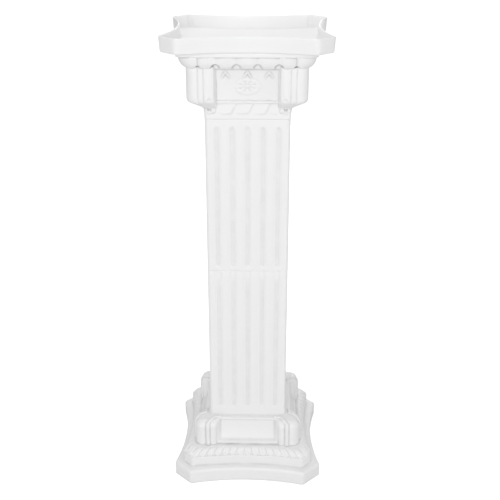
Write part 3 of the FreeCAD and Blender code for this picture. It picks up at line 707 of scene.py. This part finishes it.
def capital_grid():
    side = Side(spaced((0, 51, 0.95), (51, 59, 0.4), (59, 72, 0.8), (72, TIER_STRAIGHT, 0.95)), 9)
    lobes = lobe_relief(side, CAPITAL_MOUTH, CAPITAL_ROLL_CREST)
    levels = spaced((Z_NECK + 1.4, Z_LOBES - 0.6, 1.1))
    rows = [side.square(NECK_HALF - 1.2, SHAFT_CORNER, Z_NECK, CAPITAL_MOUTH),
            side.square(NECK_HALF - 0.4, SHAFT_CORNER, Z_NECK + 0.5, CAPITAL_MOUTH)]
    rows += [side.square(NECK_HALF, SHAFT_CORNER, z, CAPITAL_MOUTH) for z in levels]
    lengths = [Z_NECK - Z_LOBES, Z_NECK + 0.5 - Z_LOBES] + list(levels - Z_LOBES)
    steps = lobe_foot()
    start, run = steps[-1][1:]
    steps += [(TIER_HALF, z, run + z - start)
              for z in spaced((start, Z_EGGS - EGG_TIP_DROP - 0.5, 1.25))[1:]]
    rows += [lobed_row(side, lobes, *step) for step in steps]
    lengths += [step[2] for step in steps]
    carved = len(rows)
    rows += egg_rows(side, lobes)
    for half, z in ((LIP_HALF - 1.0, Z_LIP), (LIP_HALF - 0.3, Z_LIP + 0.3),
                    (LIP_HALF, Z_LIP + SOFT_EDGE), (LIP_HALF, Z_LIP + 3.0),
                    (LIP_HALF, Z_RIM - 3.0), (LIP_HALF, Z_RIM - 1.5),
                    (LIP_HALF - 0.4, Z_RIM - 0.4), (LIP_HALF - 1.5, Z_RIM)):
        rows.append(side.square(half, LIP_CORNER, z))
    mouth = side.square(MOUTH_HALF + SOFT_EDGE, SHAFT_CORNER, Z_RIM)
    rows += between(rows[-1], mouth, 6) + [mouth]
    rows += [side.square(MOUTH_HALF, SHAFT_CORNER, z) for z in (Z_RIM - SOFT_EDGE, Z_RIM - WALL)]
    rows += capital_inside(side)
    grid = np.stack(rows)
    relief = np.zeros((len(rows), len(side.run)))
    x, z = grid[:carved, 0], grid[:carved, 2]
    inside = 1.0 - smooth_step(np.abs(x), CAPITAL_MOUTH - 10.0, CAPITAL_MOUTH - 5.0)
    carving = rosette_relief(x, z) + small_leaf_relief(x, z)
    relief[:carved] = carving * inside * smooth_step(z, Z_SILL + 3.0, Z_SILL + 5.0)
    relief[:carved] += tongue_relief(x, z)
    relief[:carved] += curl_relief(x, np.array(lengths)[:, None]) * (np.abs(side.turn) < 0.01)
    return raised(grid, relief)


# ---- Tray ---------------------------------------------------------------------------------------

def tray_grid():
    side = Side(spaced((0, SKIRT_HALF - 6.0, 1.3)), 6)

    def wall_row(inset, z):
        return side.waisted(TRAY, inset + TRAY_DRAFT * (Z_TOP - z) / (Z_TOP - Z_RIM), z)

    rows = [side.square(half, 4.0, Z_RIM) for half in (6.0, 20.0, 40.0, SKIRT_HALF - WALL)]
    rows += [side.square(SKIRT_HALF - WALL, 4.0, Z_SKIRT + SOFT_EDGE),
             side.square(SKIRT_HALF - WALL + SOFT_EDGE, 4.0, Z_SKIRT),
             side.square(SKIRT_HALF - SOFT_EDGE, 6.0, Z_SKIRT),
             side.square(SKIRT_HALF, 6.0, Z_SKIRT + SOFT_EDGE),
             side.square(SKIRT_HALF, 6.0, Z_RIM)]
    bottom = wall_row(TRAY_BEVEL + 1.0, Z_RIM)
    rows += between(rows[-1], bottom, 8) + [bottom, wall_row(TRAY_BEVEL, Z_RIM + 0.3)]
    for inset, z in quarter_round((TRAY_BEVEL, 0.3), (0.0, TRAY_BEVEL), 5):
        rows.append(wall_row(inset, Z_RIM + z))
    rows += [wall_row(0.0, z) for z in spaced((Z_RIM + TRAY_BEVEL + 2.0, Z_TOP - 1.2, 3.0))]
    rim = (WALL - 0.4) / 2
    for turn in spaced((0.0, math.pi, math.pi / 8))[1:]:
        rows.append(wall_row(rim - rim * math.cos(turn), Z_TOP - 1.2 + 1.2 * math.sin(turn)))
    floor = Z_RIM + TRAY_FLOOR
    rows += [wall_row(WALL, z) for z in spaced((Z_TOP - 3.0, floor + TRAY_COVE + 0.5, 3.0))]
    for turn in spaced((0.0, math.pi / 2, math.pi / 12)):
        inset = WALL + TRAY_COVE * (1.0 - math.cos(turn))
        rows.append(wall_row(inset, floor + TRAY_COVE * (1.0 - math.sin(turn))))
    middle = side.square(6.0, 4.0, floor)
    rows += between(rows[-1], middle, 14) + [middle]
    return np.stack(rows)


# ---- Materials ----------------------------------------------------------------------------------

def shader_group(name, inputs, outputs):
    """Empty node group with those sockets, as (group, input node, output node)."""
    group = bpy.data.node_groups.new(name, "ShaderNodeTree")
    for label, kind, value in inputs:
        socket = group.interface.new_socket(label, in_out="INPUT", socket_type=kind)
        socket.default_value = value
    for label, kind in outputs:
        group.interface.new_socket(label, in_out="OUTPUT", socket_type=kind)
    return group, group.nodes.new("NodeGroupInput"), group.nodes.new("NodeGroupOutput")


def math_node(tree, operation, a, b, clamp=False):
    node = tree.nodes.new("ShaderNodeMath")
    node.operation = operation
    node.use_clamp = clamp
    for socket, value in zip(node.inputs, (a, b)):
        if isinstance(value, (int, float)):
            socket.default_value = value
        else:
            tree.links.new(value, socket)
    return node.outputs[0]


def noise_node(tree, scale, detail, stretch=(1.0, 1.0, 1.0)):
    """Noise in the section's own space, stretched along its axes."""
    coordinates = tree.nodes.new("ShaderNodeTexCoord")
    mapping = tree.nodes.new("ShaderNodeMapping")
    mapping.inputs["Scale"].default_value = stretch
    noise = tree.nodes.new("ShaderNodeTexNoise")
    noise.inputs["Detail"].default_value = detail
    tree.links.new(coordinates.outputs["Object"], mapping.inputs["Vector"])
    tree.links.new(mapping.outputs["Vector"], noise.inputs["Vector"])
    if isinstance(scale, (int, float)):
        noise.inputs["Scale"].default_value = scale
    else:
        tree.links.new(scale, noise.inputs["Scale"])
    return noise.outputs["Fac"]


def moulded_skin_group():
    """Surface of moulded plastic: fine orange peel over slow flow marks."""
    group, source, result = shader_group(
        "moulded_skin",
        [("Peel Scale", "NodeSocketFloat", 700.0), ("Flow", "NodeSocketFloat", 0.4)],
        [("Height", "NodeSocketFloat"), ("Sheen Mask", "NodeSocketFloat")])
    peel = noise_node(group, source.outputs["Peel Scale"], 2.0)
    flow = noise_node(group, 14.0, 3.0, (1.0, 1.0, 0.35))
    slow = math_node(group, "MULTIPLY", flow, source.outputs["Flow"])
    height = math_node(group, "ADD", peel, slow)
    group.links.new(height, result.inputs["Height"])
    group.links.new(flow, result.inputs["Sheen Mask"])
    return group


def hollow_dust_and_shade_group():
    """Dust and painted shade darkening the carved hollows, broken up by noise, and rubbed edges."""
    group, source, result = shader_group(
        "hollow_dust_and_shade", [("Amount", "NodeSocketFloat", 0.5)],
        [("DustAndShade", "NodeSocketFloat"), ("Rub", "NodeSocketFloat")])
    attribute = group.nodes.new("ShaderNodeAttribute")
    attribute.attribute_name = "hollow"
    hollow = attribute.outputs["Fac"]
    patches = noise_node(group, 45.0, 4.0)
    dust_and_shade = math_node(group, "MULTIPLY", math_node(group, "MAXIMUM", hollow, 0.0), patches)
    dust_and_shade = math_node(group, "MULTIPLY", dust_and_shade, source.outputs["Amount"], clamp=True)
    edge = math_node(group, "MAXIMUM", math_node(group, "MULTIPLY", hollow, -1.0), 0.0)
    rub = math_node(group, "MULTIPLY", edge, patches, clamp=True)
    group.links.new(dust_and_shade, result.inputs["DustAndShade"])
    group.links.new(rub, result.inputs["Rub"])
    return group


def white_plastic(name, colour, dust_and_shade_colour, roughness, dust_and_shade_amount, skin, dust_and_shade):
    """Satin white moulded plastic, darkened in its hollows by dust and painted shade."""
    material = bpy.data.materials.new(name)
    material.use_nodes = True
    tree = material.node_tree
    shader = tree.nodes["Principled BSDF"]
    shader.inputs["IOR"].default_value = 1.46
    skin_node = tree.nodes.new("ShaderNodeGroup")
    skin_node.node_tree = skin
    dust_and_shade_node = tree.nodes.new("ShaderNodeGroup")
    dust_and_shade_node.node_tree = dust_and_shade
    dust_and_shade_node.inputs["Amount"].default_value = dust_and_shade_amount
    # Painted shade: the colour darkens towards the dust colour where the hollow mask is high.
    mix = tree.nodes.new("ShaderNodeMix")
    mix.data_type = "RGBA"
    mix.inputs["A"].default_value = colour
    mix.inputs["B"].default_value = dust_and_shade_colour
    tree.links.new(dust_and_shade_node.outputs["DustAndShade"], mix.inputs["Factor"])
    tree.links.new(mix.outputs["Result"], shader.inputs["Base Color"])
    rough = math_node(tree, "MULTIPLY_ADD", skin_node.outputs["Sheen Mask"], 0.16)
    rough.node.inputs[2].default_value = roughness - 0.08
    rubbed = math_node(tree, "MULTIPLY", dust_and_shade_node.outputs["Rub"], -0.12)
    rough = math_node(tree, "ADD", rough, rubbed)
    tree.links.new(rough, shader.inputs["Roughness"])
    bump = tree.nodes.new("ShaderNodeBump")
    bump.inputs["Strength"].default_value = 0.12
    bump.inputs["Distance"].default_value = 0.0006
    tree.links.new(skin_node.outputs["Height"], bump.inputs["Height"])
    tree.links.new(bump.outputs["Normal"], shader.inputs["Normal"])
    return material


# ---- Floor, lights and camera -------------------------------------------------------------------

def white_floor():
    bpy.ops.mesh.primitive_plane_add(size=24.0, location=(0.0, 4.0, -0.0004))
    floor = bpy.context.object
    floor.name = "floor"
    material = bpy.data.materials.new("pale_floor")
    material.use_nodes = True
    tree = material.node_tree
    shader = tree.nodes["Principled BSDF"]
    shader.inputs["Base Color"].default_value = (0.8, 0.8, 0.8, 1.0)
    shader.inputs["Roughness"].default_value = 0.9
    glow = tree.nodes.new("ShaderNodeEmission")
    path = tree.nodes.new("ShaderNodeLightPath")
    seen = math_node(tree, "MULTIPLY", path.outputs["Is Camera Ray"], 0.62)
    tree.links.new(seen, glow.inputs["Strength"])
    add = tree.nodes.new("ShaderNodeAddShader")
    tree.links.new(shader.outputs["BSDF"], add.inputs[0])
    tree.links.new(glow.outputs["Emission"], add.inputs[1])
    tree.links.new(add.outputs["Shader"], tree.nodes["Material Output"].inputs["Surface"])
    floor.data.materials.append(material)


def world_light(strength):
    world = bpy.data.worlds.new("studio")
    bpy.context.scene.world = world
    world.use_nodes = True
    tree = world.node_tree
    background = tree.nodes["Background"]
    background.inputs["Color"].default_value = (1.0, 1.0, 1.0, 1.0)
    path = tree.nodes.new("ShaderNodeLightPath")
    seen = math_node(tree, "MAXIMUM", path.outputs["Is Camera Ray"], path.outputs["Is Glossy Ray"])
    seen = math_node(tree, "MAXIMUM", seen, path.outputs["Is Transmission Ray"])
    level = math_node(tree, "MULTIPLY_ADD", seen, 1.0 - strength)
    level.node.inputs[2].default_value = strength
    tree.links.new(level, background.inputs["Strength"])


def soft_lamp(name, place, target, size, watts):
    light = bpy.data.lights.new(name, "AREA")
    light.shape = "DISK"
    light.size = size
    light.energy = watts
    lamp = bpy.data.objects.new(name, light)
    lamp.location = place
    aim = bpy.data.objects.new(name + "_aim", None)
    aim.location = target
    bpy.context.scene.collection.objects.link(lamp)
    bpy.context.scene.collection.objects.link(aim)
    track = lamp.constraints.new("TRACK_TO")
    track.target = aim
    track.track_axis = "TRACK_NEGATIVE_Z"
    track.up_axis = "UP_Y"


def photo_camera():
    data = bpy.data.cameras.new("photo_view")
    data.sensor_width = 36.0
    data.lens = 61.61
    data.shift_x = 0.0030
    camera = bpy.data.objects.new("photo_view", data)
    camera.location = (0.0360, -1.5730, 1.1243)
    camera.rotation_euler = (math.pi / 2 - 0.4009, 0.0, 0.0229)
    bpy.context.scene.collection.objects.link(camera)
    bpy.context.scene.camera = camera


# ---- The stand ----------------------------------------------------------------------------------

bpy.context.scene.view_settings.view_transform = "Standard"
photo_camera()
white_floor()
world_light(0.58)
soft_lamp("front", (-0.35, -2.7, 1.35), (0.0, 0.0, 0.7), 1.6, 26.5)
soft_lamp("side", (1.9, -1.5, 1.2), (0.0, 0.0, 0.5), 1.6, 5.0)
soft_lamp("back", (0.6, 2.6, 0.7), (0.0, 0.0, 0.5), 1.4, 9.0)
soft_lamp("top", (-0.1, 0.2, 1.9), (0.0, 0.0, 0.9), 0.9, 4.0)

skin = moulded_skin_group()
dust_and_shade = hollow_dust_and_shade_group()
# Each plastic's second colour is the dust and painted shade laid into its hollows.
column_plastic = white_plastic("column_plastic", (0.868, 0.868, 0.868, 1.0),
                               (0.40, 0.395, 0.39, 1.0), 0.42, 0.8, skin, dust_and_shade)
tray_plastic = white_plastic("tray_plastic", (0.882, 0.882, 0.882, 1.0), (0.6, 0.595, 0.59, 1.0),
                             0.38, 0.4, skin, dust_and_shade)

lower_flutes = (Z_BASE_TOP + LOWER_FLUTE_START, Z_SEAM + 40.0)
upper_flutes = (Z_SEAM + UPPER_FLUTE_START, Z_NECK - UPPER_FLUTE_STOP)
SECTIONS = (
    ("base", base_grid(), True, column_plastic, "column_white"),
    ("lower_shaft", shaft_grid(Z_BASE_TOP, Z_SEAM, *lower_flutes, SHAFT_SPIGOT_HALF), True,
     column_plastic, "column_white"),
    ("upper_shaft", shaft_grid(Z_SEAM, Z_NECK, *upper_flutes, NECK_SPIGOT_HALF), True,
     column_plastic, "column_white"),
    ("capital", capital_grid(), True, column_plastic, "column_white"),
    ("tray", tray_grid(), False, tray_plastic, "tray_white"),
)
for name, grid, closed, plastic, slot in SECTIONS:
    piece = section("moulded_" + name, grid, closed)
    piece.data.materials.append(plastic)
    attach(piece, name)
    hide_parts(name)
